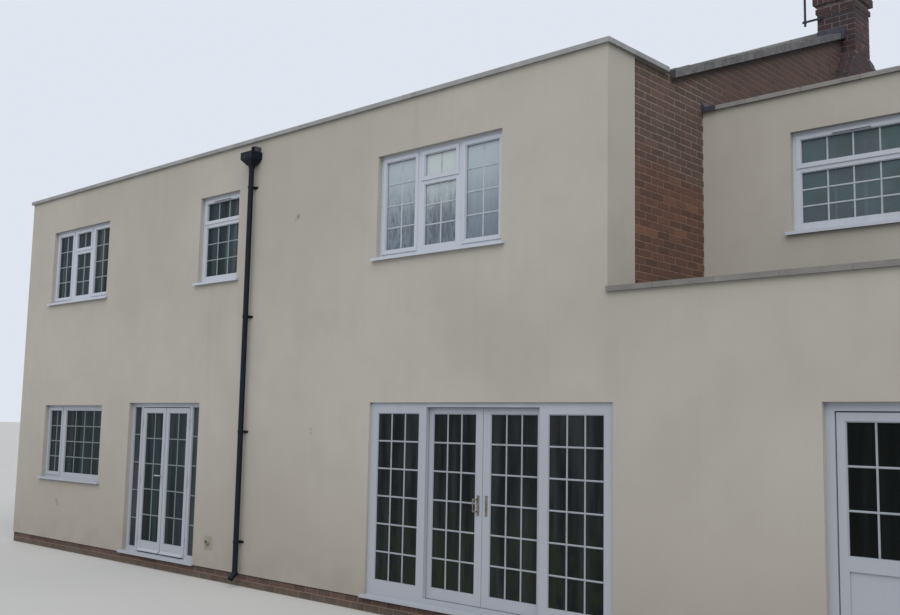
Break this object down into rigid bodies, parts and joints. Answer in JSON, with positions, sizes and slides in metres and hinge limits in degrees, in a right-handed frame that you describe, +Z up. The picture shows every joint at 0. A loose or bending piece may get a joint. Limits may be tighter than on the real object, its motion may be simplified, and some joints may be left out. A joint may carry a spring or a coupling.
{
  "type": "detached house",
  "caption": "Two-storey rendered house with flat parapets, a tiled roof behind, a brick gable with its chimney, a stepped side wing, windows, and opening garden doors.",
  "frame": {"origin": "on the underside of the ground floor, below the middle of the plan, at ground level", "axes": "+X along the rear face to the right as seen from the garden, +Y from the rear face to the front, +Z up"},
  "size_m": [16.095, 10.86, 8.7402],
  "materials": {
    "render": "painted smooth cream render",
    "brick": "brown-red facing brick with pale mortar",
    "chimney_brick": "weathered red brick",
    "floor": "plain concrete and board",
    "felt": "mineral felt",
    "roof_tile": "weathered grey roof tiles",
    "coping": "blue-grey coping",
    "wing_coping": "pale grey concrete coping",
    "clay": "terracotta",
    "lead": "dull lead sheet",
    "mast_metal": "dull aluminium",
    "white_pvc": "white plastic frames",
    "glass": "clear sealed units",
    "brass": "polished brass",
    "black_pvc": "black plastic"
  },
  "bodies": {
    "house": {"rear_wall_lower": "render", "rear_wall_band": "render", "rear_wall_upper": "render", "wall_returns": "render", "wing_rear_wall": "render", "wing_side_wall": "render", "wing_front_wall": "render", "plinth": "brick", "brick_gable": "brick", "left_gable": "brick", "front_wall": "brick", "eaves_wall": "brick", "chimney_breast": "chimney_brick", "chimney_stack": "chimney_brick", "ground_floor": "floor", "first_floor": "floor", "wing_floor": "floor", "ceiling": "floor", "flat_roofs": "felt", "rear_roof_slope": "roof_tile", "front_roof_slope": "roof_tile", "ridge_tiles": "roof_tile", "main_coping": "coping", "wing_copings": "wing_coping", "chimney_pot": "clay", "lead_flashings": "lead", "aerial_mast": "mast_metal", "front_fascia": "white_pvc", "rear_windows": "white_pvc", "front_windows": "white_pvc", "side_windows": "white_pvc", "window_sills": "white_pvc", "french_door_frame": "white_pvc", "patio_door_frame": "white_pvc", "back_door_frame": "white_pvc", "front_door": "white_pvc", "window_glass": "glass", "hopper_head": "black_pvc", "downpipe": "black_pvc", "front_gutter": "black_pvc"},
    "french_left": {"french_leaf_left": "white_pvc", "french_glass_left": "glass"},
    "french_right": {"french_leaf_right": "white_pvc", "french_glass_right": "glass"},
    "patio_left": {"patio_leaf_left": "white_pvc", "patio_glass_left": "glass", "patio_handle_left": "brass"},
    "patio_right": {"patio_leaf_right": "white_pvc", "patio_glass_right": "glass", "patio_handle_right": "brass"},
    "back_door": {"back_door_leaf": "white_pvc", "back_door_glass": "glass"}
  },
  "joints": [
    {"name": "french_left_hinge", "type": "hinge", "parent": "house", "child": "french_left", "pos_m": [-4.245, -5.174, 0.195], "axis": [0, 0, -1], "range_deg": [0, 100]},
    {"name": "french_right_hinge", "type": "hinge", "parent": "house", "child": "french_right", "pos_m": [-3.065, -5.174, 0.195], "axis": [0, 0, 1], "range_deg": [0, 100]},
    {"name": "patio_left_slide", "type": "slide", "parent": "house", "child": "patio_left", "axis": [-1, 0, 0], "range_m": [0, 0.64]},
    {"name": "patio_right_slide", "type": "slide", "parent": "house", "child": "patio_right", "axis": [1, 0, 0], "range_m": [0, 0.64]},
    {"name": "back_door_hinge", "type": "hinge", "parent": "house", "child": "back_door", "pos_m": [5.755, -5.086, 0.195], "axis": [0, 0, 1], "range_deg": [0, 90]}
  ]
}
